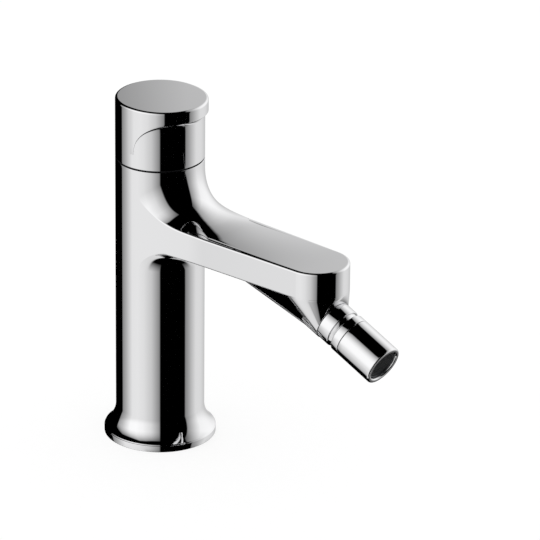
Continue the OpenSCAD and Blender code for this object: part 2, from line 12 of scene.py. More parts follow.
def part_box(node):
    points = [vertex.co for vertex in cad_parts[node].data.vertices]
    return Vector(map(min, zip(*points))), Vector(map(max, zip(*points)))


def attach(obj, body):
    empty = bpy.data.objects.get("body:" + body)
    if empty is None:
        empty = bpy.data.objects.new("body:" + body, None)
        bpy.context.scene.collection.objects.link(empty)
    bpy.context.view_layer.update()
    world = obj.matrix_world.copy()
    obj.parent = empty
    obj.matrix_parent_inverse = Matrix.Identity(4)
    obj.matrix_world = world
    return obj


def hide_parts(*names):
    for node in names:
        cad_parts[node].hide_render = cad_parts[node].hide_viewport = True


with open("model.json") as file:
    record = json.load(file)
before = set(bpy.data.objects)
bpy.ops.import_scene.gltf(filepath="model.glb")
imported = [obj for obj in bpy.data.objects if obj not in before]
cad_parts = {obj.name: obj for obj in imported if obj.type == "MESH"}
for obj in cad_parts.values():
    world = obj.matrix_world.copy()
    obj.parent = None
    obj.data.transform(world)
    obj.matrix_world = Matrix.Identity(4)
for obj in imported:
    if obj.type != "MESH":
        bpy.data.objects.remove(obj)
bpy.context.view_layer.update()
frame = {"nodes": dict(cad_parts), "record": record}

bl_info = {
    "name": "Bidet mixer",
    "version": (1, 0, 0),
    "blender": (4, 5, 0),
    "location": "View3D > Sidebar > Mixer",
    "description": "Builds a chrome bidet mixer with a swivel nozzle around its CAD frame",
    "category": "Object",
}

MM = 0.001
BODY_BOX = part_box("mixer_body")
HANDLE_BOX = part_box("handle_shell")

# How the edge roll dies out towards the spout's edges, and the finger lip towards the sides
ROLL_POWER = 3.7
LIP_POWER = 1.5
# The spout's edge rounding starts this far from the column, and is full after this length
EDGE_START = 2 * MM
EDGE_GROWTH = 11 * MM
# Distance of the outermost inner points across the spout from its edge
EDGE_SUPPORT = 0.12 * MM
# Short step over which slopes are measured
SLOPE_STEP = 0.02 * MM
# Counts of faces: along the side over the under blend, the top blend and the arc, and round the tip
UNDER_STEPS, TOP_STEPS, ARC_STEPS, TIP_STEPS = 28, 40, 20, 96
# Round the column's back on each side, across an edge rounding, up the walls and along the top
BACK_STEPS, EDGE_STEPS, WALL_STEPS, ROW_STEPS = 56, 8, 14, 30
# How strongly the faces crowd towards the spout's root
ROOT_CROWDING = 1.3
# Length of the boss behind its face, and count of points round the fairing
BOSS_LENGTH = 34 * MM
FAIRING_STEPS = 256
# Rounding of the outlet's turned edges, its faces round, and the radius of the bore through the ball
TURNED_ROUND = 0.25 * MM
TURNED_STEPS = 160
OUTLET_BORE = 4.5 * MM

# The two soft panels of the studio round the mixer, by direction: azimuth in degrees from +X,
# brightness there, and elevation of the panel's upper edge in degrees
PANEL_STOPS = (
    (-180, 1.02, 57), (-160, 0.79, 57), (-138.6, 0.31, 58), (-137.4, 0, 58),
    (-69.6, 0, 46.5), (-68.4, 0.3, 47.8), (-60.3, 0.44, 53.9), (-47.5, 0.7, 59), (-31.7, 1, 62),
    (-16.1, 1.06, 62.8), (-2.8, 1.1, 61.9), (7.3, 1.1, 59.6), (14.3, 1.1, 56.9), (23.6, 1.06, 50.9),
    (30.9, 1, 44.2), (34.2, 1, 40.4), (37, 1, 36.6), (39.1, 1, 33), (40.6, 1, 30.4), (41.6, 1, 29),
    (42.2, 1, 27.9), (43, 1, 24.6), (44.5, 1, 13), (46, 0, 10),
    (107, 0, 14), (108.2, 0.34, 16), (124, 0.6, 34), (145, 1.08, 45), (162, 1.1, 55), (180, 1.02, 57),
)
# Brightness far below the horizon, by azimuth
LOW_STOPS = (
    (-180, 0.95), (-172, 0.85), (-166, 0), (-55, 0), (-46, 0.8), (-38, 1), (-32, 1), (-26, 0),
    (109.8, 0), (113, 0.6), (130, 1), (180, 0.95),
)
# Elevations in degrees between which that brightness takes over from the panels
LOW_BLEND = (-26, -50)
# How the panels darken below the horizon and towards their upper edge: share of the edge's
# elevation, and brightness there
PANEL_FADE = (
    (-0.9, 0.8), (-0.35, 0.8), (-0.1, 0.97), (0, 1), (0.42, 1), (0.6, 0.86), (0.74, 0.68), (0.88, 0.46),
    (0.97, 0.34), (1.03, 0), (1.2, 0),
)


def length(name, description, millimetres):
    """A length property, given in millimetres and kept in metres."""
    return FloatProperty(
        name=name, description=description, default=millimetres * MM, min=0.0, precision=5, unit="LENGTH"
    )


def angle(name, description, degrees):
    """An angle property, given in degrees and kept in radians."""
    return FloatProperty(
        name=name, description=description, default=math.radians(degrees), unit="ROTATION"
    )


def ratio(name, description, default, low, high):
    """A plain number between two limits."""
    return FloatProperty(
        name=name, description=description, default=default, min=low, max=high, subtype="FACTOR"
    )


def linear_colour(hex_colour):
    """Linear RGBA of an sRGB hex colour."""
    channels = [int(hex_colour[i:i + 2], 16) / 255 for i in (1, 3, 5)]
    return [c / 12.92 if c <= 0.04045 else ((c + 0.055) / 1.055) ** 2.4 for c in channels] + [1.0]


def colour(name, description, hex_colour):
    """A colour property, given as an sRGB hex value."""
    return FloatVectorProperty(
        name=name, description=description, default=linear_colour(hex_colour),
        size=4, min=0.0, max=1.0, subtype="COLOR",
    )


class BodySizes(bpy.types.PropertyGroup):
    """Sizes of the cast body"""

    column_radius: length("Column radius", "Radius of the column and of the handle", HANDLE_BOX[1].x / MM)
    foot_radius: length("Foot radius", "Radius of the flared foot", BODY_BOX[1].x / MM)
    seam_height: length("Seam height", "Height of the seam under the handle", BODY_BOX[1].z / MM)
    rim_height: length("Rim height", "Height of the foot's upright rim", 3.6)
    flare_radius: length("Flare radius", "Radius of the hollow flare above the foot", 15.7)
    spout_top: length("Spout top", "Height of the spout's flat top", 126.7)
    spout_thickness: length("Spout thickness", "Thickness of the spout", 15.4)
    tip_reach: length("Tip reach", "Distance from the column's axis to the centre of the round tip", 106.4)
    tip_radius: length("Tip radius", "Radius of the round tip", 16.75)
    side_taper: angle("Side taper", "Taper of each side of the spout", 1.565)
    side_arc: length("Side arc", "Radius of the hollow curve that leads each side into the column", 290)
    top_reach: length("Top blend reach", "Reach of the blend on the spout's top", 30.2)
    top_rise: length("Top blend rise", "Rise of the blend on the spout's top", 24.7)
    under_reach: length("Under blend reach", "Reach of the blend under the spout", 10.5)
    under_drop: length("Under blend drop", "Drop of the blend under the spout", 12.5)
    edge_round: length("Edge rounding", "Rounding of the spout's edges", 1.2)
    well_radius: length("Well radius", "Radius of the hose well", 19)
    well_height: length("Well height", "Height of the hose well", 96)
    fairing_start: length("Fairing start", "Distance from the axis to the start of the fairing", 58)
    crown: length("Crown", "Rise of the top's middle over its edges, at the column", 0.58)
    crown_end: length("Crown end", "Distance from the axis at which the crown has died out", 110)
    roll: length("Edge roll", "How far the top rolls down to its edges near the column", 2.1)
    roll_place: length("Edge roll place", "Distance from the axis at which the edges roll most", 33.3)
    roll_width: length("Edge roll width", "Length over which the edges roll", 11.3)
    blend_tail: ratio("Blend tail", "How gently the top blend runs out, 2 for an ellipse", 3.7, 2, 5)
    side_fall: ratio("Side fall", "How strongly the top blend's rise falls off to the sides", 0.535, 0, 0.9)
    crown_fade: ratio("Crown fade", "How fast the crown dies out towards the tip", 1.2, 0.5, 4)
    top_fullness: ratio("Top fullness", "How strongly the top blend narrows to the sides", 0.008, 0, 0.9)
    under_fullness: ratio("Under fullness", "How strongly the under blend narrows to the sides", 0.1, 0, 0.9)


class HandleSizes(bpy.types.PropertyGroup):
    """Sizes of the handle"""

    top_height: length("Top height", "Height of the handle's flat top", HANDLE_BOX[1].z / MM)
    pivot_rise: length("Pivot rise", "Height of the lever's pivot above the seam", 12)
    seam_gap: length("Seam gap", "Gap in the ball-shaped seam", 0.2)
    seam_round: length("Seam rounding", "Rounding of the seam's edges", 0.25)
    lip_out: length("Lip", "How far the finger lip stands proud", 2.6)
    lip_height: length("Lip height", "Height of the finger lip", 6.9)
    round_height: length("Recess rounding", "Height over which the finger recess rounds down at each end", 18)
    flat_angle: angle("Lip flat angle", "Half of the angle over which the lip's lower edge is level", 30)
    end_angle: angle("Recess end angle", "Angle from the front at which the recess ends", 84)
    fillet: length("Fillet", "Height of the hollow rounding between lip and recess", 2.8)
    wall: length("Wall", "Thickness of the handle's side wall", 3.5)
    roof: length("Roof", "Thickness of the handle's roof", 4.2)
    edge_round: length("Edge rounding", "Rounding of the handle's edges", 0.35)
    rim_round: length("Rim rounding", "Rounding of the rim round the flat top", 1.2)


class OutletSizes(bpy.types.PropertyGroup):
    """Sizes of the swivel outlet, measured along its axis from the boss face"""

    tilt: angle("Tilt", "Tilt of the outlet below the horizontal", 24)
    boss_reach: length("Boss reach", "Distance from the column's axis to the boss face", 117.3)
    boss_height: length("Boss height", "Height of the centre of the boss face", 97.7)
    boss_radius: length("Boss radius", "Radius of the boss", 11)
    keel_radius: length("Keel radius", "Radius of the fairing's keel where it meets the boss", 8.5)
    collar_radius: length("Collar radius", "Radius of the collar", 10.7)
    collar_length: length("Collar length", "Visible length of the collar", 7.3)
    ball_radius: length("Ball radius", "Radius of the swivel ball", 10.1)
    ball_along: length("Ball place", "Distance of the ball's centre from the boss face", 4.6)
    nozzle_radius: length("Nozzle radius", "Radius of the nozzle", 10.9)
    shoulder_along: length("Shoulder place", "Distance of the shoulder ring from the boss face", 9.8)
    shoulder_length: length("Shoulder length", "Length of the shoulder ring", 4.5)
    sleeve_along: length("Sleeve place", "Distance of the sleeve from the boss face", 14.5)
    sleeve_length: length("Sleeve length", "Length of the sleeve", 22.6)
    mouth_radius: length("Mouth radius", "Radius of the nozzle's mouth", 8.35)
    mesh_depth: length("Mesh depth", "Depth of the mesh behind the rim", 1.5)
    mesh_pitch: length("Mesh pitch", "Spacing of the mesh wires", 0.66)
    mesh_wire: length("Mesh wire", "Diameter of a mesh wire", 0.28)


class FinishColours(bpy.types.PropertyGroup):
    """Colours of the finishes"""

    chrome: colour("Chrome", "Reflected colour of polished chrome plate", "#F1F1F2")
    # Painted shade: a dark grey for the chrome inside the seam, standing in for the shade that falls in the
    # gap
    seam_shade: colour("Dull plating", "Unpolished plating inside the seam", "#2E2E30")
    rubber: colour("Rubber", "Nitrile rubber of the seals", "#1B1B1C")
    white_acetal: colour("White acetal", "Moulded plastic of the cartridge", "#E6E4DD")
    grey_acetal: colour("Grey acetal", "Moulded plastic of the glide ring", "#5A5C5F")
    alumina: colour("Alumina", "Lapped ceramic of the valve discs", "#EFEBDD")
    brass: colour("Brass", "Turned brass of the cartridge nut", "#C9A35A")
    steel: colour("Steel", "Stainless steel of pins and screws", "#B9BABB")
    mesh: colour("Mesh wire", "Stainless wire of the nozzle's mesh", "#505254")
    floor: colour("Floor", "Pale studio floor", "#F6F6F6")


def finish_colours():
    """The colours that the scene holds."""
    return bpy.context.scene.mixer_finish


def add_grid(mesh, rows):
    """Adds a sheet of quads through rows of points that have the same count."""
    placed = [[mesh.verts.new(point) for point in row] for row in rows]
    for low, high in zip(placed, placed[1:]):
        for i in range(len(low) - 1):
            mesh.faces.new((low[i], low[i + 1], high[i + 1], high[i]))
    return placed


def add_lathe(mesh, profile, turns, place=Matrix.Identity(4)):
    """Adds a closed turned sheet through (radius, along) points, about the Z axis of place."""
    rows = []
    for radius, along in profile:
        row = [Vector((radius * math.cos(t), radius * math.sin(t), along)) for t in turns]
        rows.append([place @ point for point in row])
    return add_grid(mesh, rows)


def full_turn(count):
    """Angles of a full turn, with the first one repeated at the end."""
    return [2 * math.pi * i / count for i in range(count + 1)]


def arc(centre, radius, start, end, count):
    """Points of a circular arc, angles in degrees."""
    steps = [math.radians(start + (end - start) * i / count) for i in range(count + 1)]
    return [(centre[0] + radius * math.cos(t), centre[1] + radius * math.sin(t)) for t in steps]


def finish_mesh(mesh, name, material, body):
    """Welds the sheets of a mesh, shades it smooth, and makes it ride on a body."""
    bmesh.ops.remove_doubles(mesh, verts=mesh.verts, dist=1e-7)
    bmesh.ops.dissolve_degenerate(mesh, edges=mesh.edges, dist=1e-8)
    bmesh.ops.recalc_face_normals(mesh, faces=mesh.faces)
    data = bpy.data.meshes.new(name)
    mesh.to_mesh(data)
    mesh.free()
    data.shade_smooth()
    data.materials.append(material)
    piece = bpy.data.objects.new(name, data)
    bpy.context.scene.collection.objects.link(piece)
    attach(piece, body)
    return piece


def mark_sharp(piece, degrees):
    """Splits the shading where two faces meet at more than an angle."""
    piece.data.set_sharp_from_angle(angle=math.radians(degrees))


def shade_node(node, material):
    """Gives a CAD node its finish."""
    node.data.materials.clear()
    node.data.materials.append(material)


def add_node(tree, kind, inputs=None, links=None, **settings):
    """Adds a shader node with its settings, input values and input links."""
    node = tree.nodes.new(kind)
    for key, value in settings.items():
        setattr(node, key, value)
    for key, value in (inputs or {}).items():
        node.inputs[key].default_value = value
    for key, socket in (links or {}).items():
        tree.links.new(socket, node.inputs[key])
    return node


def add_ramp(tree, value, stops):
    """A grey ramp through (place, brightness) stops in rising order; gives its output socket."""
    ramp = add_node(tree, "ShaderNodeValToRGB", None, {"Fac": value})
    elements = ramp.color_ramp.elements
    while len(elements) < len(stops):
        elements.new(0.5)
    # All places first, because setting one can change the order of the elements
    for element, (place, _) in zip(elements, stops):
        element.position = place
    for element, (_, grey) in zip(elements, stops):
        element.color = (grey, grey, grey, 1)
    return ramp.outputs["Color"]


def new_material(name):
    """An empty node material and its output node."""
    material = bpy.data.materials.get(name) or bpy.data.materials.new(name)
    material.use_nodes = True
    material.node_tree.nodes.clear()
    output = add_node(material.node_tree, "ShaderNodeOutputMaterial")
    return material, material.node_tree, output


def polished_chrome():
    """Decorative chrome over polished brass: a cool mirror with faint buffing haze."""
    material, tree, output = new_material("polished_chrome_plate")
    place = add_node(tree, "ShaderNodeTexCoord")
    haze_size = 9 * MM
    haze = add_node(
        tree, "ShaderNodeTexNoise", {"Scale": 1 / haze_size, "Detail": 3.0},
        {"Vector": place.outputs["Object"]},
    )
    rough = add_node(
        tree, "ShaderNodeMapRange", {"From Min": 0.3, "From Max": 0.7, "To Min": 0.005, "To Max": 0.012},
        {"Value": haze.outputs["Fac"]},
    )
    shader = add_node(
        tree, "ShaderNodeBsdfPrincipled",
        {"Base Color": finish_colours().chrome, "Metallic": 1.0, "Specular Tint": (0.7, 0.7, 0.7, 1)},
        {"Roughness": rough.outputs["Result"]},
    )
    tree.links.new(shader.outputs["BSDF"], output.inputs["Surface"])
    return material


def moulded(name, base, rough, grain_mm, depth, metallic=0.0):
    """A moulded, lapped or turned material with a fine grain of a real size."""
    spread = 0.06
    material, tree, output = new_material(name)
    place = add_node(tree, "ShaderNodeTexCoord")
    grain = add_node(
        tree, "ShaderNodeTexNoise", {"Scale": 1 / (grain_mm * MM), "Detail": 4.0},
        {"Vector": place.outputs["Object"]},
    )
    bump = add_node(
        tree, "ShaderNodeBump", {"Strength": depth, "Distance": 0.1 * MM}, {"Height": grain.outputs["Fac"]}
    )
    shade = add_node(
        tree, "ShaderNodeMapRange", {"To Min": rough - spread, "To Max": rough + spread},
        {"Value": grain.outputs["Fac"]},
    )
    shader = add_node(
        tree, "ShaderNodeBsdfPrincipled", {"Base Color": base, "Metallic": metallic},
        {"Roughness": shade.outputs["Result"], "Normal": bump.outputs["Normal"]},
    )
    tree.links.new(shader.outputs["BSDF"], output.inputs["Surface"])
    return material


def painted_seam_shade():
    """Painted shade inside the seam: a dark grey metal standing in for the shade in the gap, with a fine
    cast-like grain.
    """
    return moulded("painted_seam_shade", finish_colours().seam_shade, 0.5, 0.4, 0.2, 1.0)


def stainless_wire():
    """Drawn stainless wire: dark grey with soft glints."""
    return moulded("stainless_wire_mesh", finish_colours().mesh, 0.38, 0.4, 0.05, 1.0)


class SpoutPlan:
    """The spout seen from above: half-widths, and where its blends meet its sides."""

    def __init__(self, body):
        self.b = body
        r, arc_r, taper = body.column_radius, body.side_arc, body.side_taper
        self.line = body.tip_radius + body.tip_reach * math.sin(taper)
        run = math.sqrt((r + arc_r) ** 2 - (self.line + arc_r) ** 2)
        self.arc_s = (self.line + arc_r) * math.sin(taper) + run * math.cos(taper)
        self.arc_x = (self.line + arc_r) * math.cos(taper) - run * math.sin(taper)
        self.root_s = self.arc_s * r / (r + arc_r)
        self.arc_end = self.arc_s - arc_r * math.sin(taper)
        self.root_angle = math.acos(self.root_s / r)

    def half_width(self, s):
        """Half-width at a distance s from the column's axis."""
        if s < self.arc_end:
            return self.arc_x - math.sqrt(self.b.side_arc ** 2 - (s - self.arc_s) ** 2)
        return (self.line - s * math.sin(self.b.side_taper)) / math.cos(self.b.side_taper)

    def reach_at(self, s, x, full):
        """Reach of the blend level through a point, off the column."""
        lean = math.sqrt(max(0.0, 1 - (x / self.b.column_radius) ** 2))
        return max(0.0, (s - self.b.column_radius * lean) / (1 - full * (1 - lean)))

    def meets_side(self, reach, full):
        """The s at which the blend level of that reach meets the side."""
        low, high = self.root_s, self.b.tip_reach
        for _ in range(60):
            middle = (low + high) / 2
            short = self.reach_at(middle, self.half_width(middle), full) < reach
            low, high = (middle, high) if short else (low, middle)
        return (low + high) / 2

    def crown(self, s, x):
        """Rise of the top's faint crown, which dies out at the edges and at the tip."""
        b = self.b
        wide = self.half_width(s)
        if s > b.tip_reach:
            wide = math.sqrt(max(1e-9, b.tip_radius ** 2 - (s - b.tip_reach) ** 2))
        share = min(1.0, abs(x) / wide)
        along = max(0.0, (b.crown_end - s) / (b.crown_end - b.column_radius)) ** b.crown_fade
        near = math.exp(-((s - b.roll_place) / b.roll_width) ** 2)
        return b.crown * along * (1 - share ** 2) + b.roll * near * (1 - share ** ROLL_POWER)

    def top_z(self, s, x):
        """Height of the spout's top and of its blend."""
        share = 1 - min(1.0, self.reach_at(s, x, self.b.top_fullness) / self.b.top_reach)
        lean = math.sqrt(max(0.0, 1 - (x / self.b.column_radius) ** 2))
        rise = self.b.top_rise * (1 - self.b.side_fall * (1 - lean))
        bent = 1 - math.sqrt(max(0.0, 1 - share ** self.b.blend_tail))
        return self.b.spout_top + rise * bent + self.crown(s, x)

    def under_z(self, s, x):
        """Height of the spout's underside and of the blend under it."""
        share = 1 - min(1.0, self.reach_at(s, x, self.b.under_fullness) / self.b.under_reach)
        bent = 1 - math.sqrt(max(0.0, 1 - share ** 2))
        return self.b.spout_top - self.b.spout_thickness - self.b.under_drop * bent

    def face_normal(self, height, s, x):
        """Upward normal of a height function just inside the spout's side."""
        step = SLOPE_STEP
        inside = x - 3 * step
        along = (height(s + step, inside) - height(s - step, inside)) / (2 * step)
        across = (height(s, x) - height(s, x - 5 * step)) / (5 * step)
        return Vector((-across, along, 1)).normalized()

    def stations(self, sides, tip_count):
        """(x, s, outward normal, edge radius) round one side, from the column to the tip's middle."""
        step = SLOPE_STEP
        found = []
        for s in sides:
            slope = (self.half_width(s + step) - self.half_width(s - step)) / (2 * step)
            fade = min(1.0, max(0.0, s - self.root_s - EDGE_START) / EDGE_GROWTH) ** 2
            out = Vector((1, slope, 0)).normalized()
            found.append((self.half_width(s), s, out, self.b.edge_round * fade))
        for i in range(tip_count + 1):
            turn = (math.pi / 2 - self.b.side_taper) * (1 - i / tip_count)
            out = Vector((math.sin(turn), -math.cos(turn), 0))
            ahead = self.b.tip_reach + self.b.tip_radius * math.cos(turn)
            found.append((self.b.tip_radius * math.sin(turn), ahead, out, self.b.edge_round))
        return found


def fillet(edge, side_normal, face_normal, radius, count):
    """Points of a rounding between two faces that meet at an edge, from the side to the face."""
    centre = edge - (side_normal + face_normal) * (radius / (1 + side_normal.dot(face_normal)))
    return [centre + radius * side_normal.lerp(face_normal, i / count).normalized() for i in range(count + 1)]


def mirrored(point):
    """The same point on the spout's other side."""
    return Vector((-point.x, point.y, point.z))


def level_row(plan, s, full, end, height, count):
    """Points across the spout on the blend level that meets the side at s, kept between the ends."""
    r = plan.b.column_radius
    reach = plan.reach_at(s, plan.half_width(s), full)
    turn = math.asin((end.x - EDGE_SUPPORT) / r)
    row = [mirrored(end)]
    for i in range(count + 1):
        a = turn * (2 * i / count - 1)
        ahead = reach * (1 - full * (1 - math.cos(a))) + r * math.cos(a)
        x = r * math.sin(a)
        row.append(Vector((x, -ahead, height(ahead, x))))
    return row + [end]


def body_mesh(body, handle):
    """The cast body: foot, column, spout with its blends, hose well and cartridge pocket."""
    plan = SpoutPlan(body)
    r = body.column_radius
    mesh = bmesh.new()

    under_s = plan.meets_side(body.under_reach, body.under_fullness)
    top_s = plan.meets_side(body.top_reach, body.top_fullness)
    crowded = [(i / UNDER_STEPS) ** ROOT_CROWDING for i in range(UNDER_STEPS + 1)]
    near = [plan.root_s + (under_s - plan.root_s) * share for share in crowded]
    near += [under_s + (top_s - under_s) * i / TOP_STEPS for i in range(1, TOP_STEPS + 1)]
    sides = near + [top_s + (plan.arc_end - top_s) * i / ARC_STEPS for i in range(1, ARC_STEPS + 1)]
    stations = plan.stations(sides, TIP_STEPS)
    top_edge, low_edge = [], []
    for x, s, out, radius in stations:
        up = plan.face_normal(plan.top_z, s, x)
        points = fillet(Vector((x, -s, plan.top_z(s, x))), out, up, radius, EDGE_STEPS)
        points[-1].z = plan.top_z(-points[-1].y, points[-1].x)
        top_edge.append(points)
        down = -plan.face_normal(plan.under_z, s, x)
        low_edge.append(fillet(Vector((x, -s, plan.under_z(s, x))), out, down, radius, EDGE_STEPS))

    across = 2 * (len(stations) - len(near)) - 2
    top_rows = []
    for k, s in enumerate(near):
        top_rows.append(level_row(plan, s, body.top_fullness, top_edge[k][-1], plan.top_z, across))
    low_rows = []
    for k, s in enumerate(near[:UNDER_STEPS + 1]):
        low_rows.append(level_row(plan, s, body.under_fullness, low_edge[k][-1], plan.under_z, across))
    tops = [points[-1] for points in top_edge[len(near) - 1:]]
    rim = [mirrored(point) for point in tops] + tops[-2::-1]
    last_share = 0.997
    for share in [k / ROW_STEPS for k in range(1, ROW_STEPS)] + [last_share, 1.0]:
        row = []
        for start, end in zip(top_rows[len(near) - 1], rim):
            point = start.lerp(end, share)
            row.append(Vector((point.x, point.y, plan.top_z(-point.y, point.x))))
        row[0], row[-1] = rim[0], rim[-1]
        top_rows.append(row)
    add_grid(mesh, top_rows)
    add_grid(mesh, low_rows)

    blend_low, blend_top = low_edge[0][0].z, top_edge[0][0].z
    margin = 0.01
    heights = [0, margin] + [k / WALL_STEPS for k in range(1, WALL_STEPS)] + [1 - margin, 1]
    for flip in (Vector, mirrored):
        walls = []
        for i in range(BACK_STEPS):
            turn = math.pi + (plan.root_angle - math.pi) * i / BACK_STEPS
            x, y = r * math.sin(turn), -r * math.cos(turn)
            walls.append((Vector((x, y, blend_low)), Vector((x, y, blend_top))))
        walls += [(low[0], top[0]) for low, top in zip(low_edge, top_edge)]
        add_grid(mesh, [[flip(low.lerp(top, h)) for low, top in walls] for h in heights])
        for edge in (top_edge, low_edge):
            add_grid(mesh, [[flip(points[j]) for points in edge] for j in range(EDGE_STEPS + 1)])

    ends = [points[-1] for points in low_edge[UNDER_STEPS:]]
    loop = ends + [mirrored(point) for point in ends[-2::-1]] + low_rows[-1][1:-1]
    mesh.faces.new([mesh.verts.new(point) for point in loop])

    fronts = across + 2
    turns = [math.atan2(point.y, point.x) for point in top_rows[0]]
    sweep = 2 * (math.pi - plan.root_angle)
    for i in range(1, 2 * BACK_STEPS + 1):
        turns.append(turns[fronts] + sweep * i / (2 * BACK_STEPS))
    tops = [point.z for point in top_rows[0]] + [blend_top] * (2 * BACK_STEPS)
    add_turned_parts(mesh, body, handle, turns, blend_low, tops)
    return mesh


def add_turned_parts(mesh, body, handle, turns, blend_low, tops):
    """Foot and hose well below the spout, neck, seam rim and cartridge pocket above it."""
    r, foot = body.column_radius, body.foot_radius
    flare = body.flare_radius
    flare_centre = (r + flare, body.rim_height + math.sqrt(flare ** 2 - (r + flare - foot) ** 2))
    rim_angle = math.degrees(math.atan2(body.rim_height - flare_centre[1], foot - flare_centre[0])) + 360
    soft = 0.35 * MM
    gasket_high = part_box("base_gasket")[1]
    groove_gap, gasket_width = 0.1 * MM, 4 * MM
    groove_out = gasket_high.x + groove_gap
    groove_in = gasket_high.x - gasket_width - groove_gap
    rim_margin = 1.5
    profile = [(r, blend_low - (blend_low - flare_centre[1]) * i / 12) for i in range(13)]
    profile += arc(flare_centre, flare, 180, rim_angle - rim_margin, 40)[1:]
    profile += arc((foot - soft, body.rim_height - 1.4 * soft), soft, 75, 0, 8)
    profile += arc((foot - soft, soft), soft, 0, -90, 6)
    profile += [(groove_out, 0), (groove_out, gasket_high.z), (groove_in, gasket_high.z), (groove_in, 0)]
    profile += arc((body.well_radius + soft, soft), soft, 270, 180, 6)
    profile += [(body.well_radius, body.well_height)]
    rows = add_lathe(mesh, profile, turns)
    add_well_roof(mesh, body, rows[-1])

    soft = handle.seam_round
    pivot = body.seam_height + handle.pivot_rise
    cup = math.hypot(r, handle.pivot_rise)
    seam = pivot - math.sqrt(cup ** 2 - (r - soft) ** 2) - soft
    neck = []
    for k in range(9):
        row = [(r * math.cos(t), r * math.sin(t), z + (seam - z) * k / 8) for t, z in zip(turns, tops)]
        neck.append([Vector(point) for point in row])
    add_grid(mesh, neck)
    start = math.degrees(math.asin((r - soft) / cup))
    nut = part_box("cartridge_nut")
    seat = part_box("cartridge_base")
    nut_gap, seat_gap, overlap = 0.1 * MM, 0.2 * MM, 0.2
    nut_radius, seat_radius = nut[1].x + nut_gap, seat[1].x + seat_gap
    end = math.degrees(math.asin(nut_radius / cup))
    profile = arc((r - soft, seam), soft, 0, 80, 8)
    profile += arc((0, pivot), cup, start - 90 - overlap, end - 90, 16)
    profile += [(nut_radius, nut[0].z), (seat_radius, nut[0].z), (seat_radius, seat[0].z), (0, seat[0].z)]
    add_lathe(mesh, profile, turns)


def add_well_roof(mesh, body, edge):
    """Roof of the hose well with the hose inlets and the stud hole, each with a spot face."""
    mesh.verts.ensure_lookup_table()
    edges = []
    for a, b in zip(edge, edge[1:]):
        edges.append(mesh.edges.get((a, b)) or mesh.edges.new((a, b)))
    face_depth, stud_face, inlet_face = 1 * MM, 5 * MM, 5.5 * MM
    holes = []
    for mount in frame["record"]["mounts"]:
        if mount["kind"] == "threaded_hole":
            holes.append((Vector(mount["pos_m"]), mount["dims"]["r_mm"] * MM, stud_face))
        if mount["kind"] == "bolt_pattern":
            for side in (-0.5, 0.5):
                shift = Vector((side * mount["dims"]["spacing_x_mm"] * MM, 0, 0))
                middle = Vector(mount["pos_m"]) + shift
                holes.append((middle, mount["dims"]["hole_r_mm"] * MM, inlet_face))
    low = body.well_height
    for middle, hole, face in holes:
        deep = 2 * middle.z - low - face_depth
        profile = [(face, low), (face, low + face_depth), (hole, low + face_depth), (hole, deep), (0, deep)]
        rows = add_lathe(mesh, profile, full_turn(48), Matrix.Translation((middle.x, middle.y, 0)))
        for a, b in zip(rows[0], rows[0][1:]):
            edges.append(mesh.edges.get((a, b)))
    bmesh.ops.remove_doubles(mesh, verts=mesh.verts, dist=1e-7)
    edges = [e for e in edges if e.is_valid]
    bmesh.ops.triangle_fill(mesh, use_beauty=True, edges=edges, normal=Vector((0, 0, -1)))


def paint_seam_shade(piece, inside):
    """Gives the faces inside the seam a painted shade: the dark grey second material."""
    piece.data.materials.append(painted_seam_shade())
    for face in piece.data.polygons:
        if inside(face.center, face.normal):
            face.material_index = 1


def outlet_place(outlet):
    """Frame of the outlet: origin at the boss face, Z out along the nozzle."""
    turn = Matrix.Rotation(math.pi / 2 + outlet.tilt, 4, "X")
    return Matrix.Translation((0, -outlet.boss_reach, outlet.boss_height)) @ turn


def fairing_points(body, outlet):
    """Circles whose two hulls are the fairing: one from the tip to the boss, one along the keel."""
    under = body.spout_top - body.spout_thickness
    tip, keel = body.tip_radius, outlet.keel_radius
    inset, deep = 0.4 * MM, 1 * MM
    tip_inset, boss_inset = 0.02 * MM, 0.05 * MM
    place = outlet_place(outlet)
    lift = Vector((0, 0, deep))
    rim = Vector((0, -body.tip_reach, under))
    start = Vector((0, -body.fairing_start - tip, under))
    keel_centre = Vector((0, keel - outlet.boss_radius + inset, -deep))
    front, back = [], []
    for t in full_turn(FAIRING_STEPS):
        turn = Vector((math.cos(t), math.sin(t), 0))
        front += [rim + (tip - tip_inset) * turn, rim + (tip - tip_inset) * turn + lift]
        front.append(place @ ((outlet.boss_radius - boss_inset) * turn))
        back += [rim + (tip - deep) * turn, start + (tip - inset) * turn]
        back.append(place @ (keel * turn + keel_centre))
    return front, back


class MIXER_OT_body(bpy.types.Operator):
    """Build the cast body with its foot, column and blended spout"""

    bl_idname = "mixer.body"
    bl_label = "Cast body"

    def execute(self, context):
        body, outlet = context.scene.mixer_body, context.scene.mixer_outlet
        chrome = polished_chrome()
        mesh = body_mesh(body, context.scene.mixer_handle)
        piece = finish_mesh(mesh, "cast_body", chrome, "column")
        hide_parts("mixer_body")
        underside = max(piece.data.polygons, key=lambda face: len(face.vertices))
        underside.use_smooth = False
        # Painted shade: the cup and cartridge pocket inside the column, above the spout, get the seam's dark
        # grey
        pocket = 0.98 * body.column_radius
        paint_seam_shade(piece, lambda at, normal: at.z > body.spout_top and at.xy.length < pocket)
        fairing = bmesh.new()
        for points in fairing_points(body, outlet):
            hull = [fairing.verts.new(point) for point in points]
            bmesh.ops.convex_hull(fairing, input=hull)
        pipe = [(outlet.boss_radius, -BOSS_LENGTH), (outlet.boss_radius, 0)]
        add_lathe(fairing, pipe, full_turn(FAIRING_STEPS), outlet_place(outlet))
        loose = [v for v in fairing.verts if not v.link_faces]
        bmesh.ops.delete(fairing, geom=loose, context="VERTS")
        piece = finish_mesh(fairing, "outlet_fairing", chrome, "column")
        mark_sharp(piece, 25)
        return {"FINISHED"}


def lip_radius(turn, body, handle):
    """Distance from the axis to the handle's lip at an angle from the front."""
    return body.column_radius + handle.lip_out * max(0.0, math.cos(turn)) ** LIP_POWER


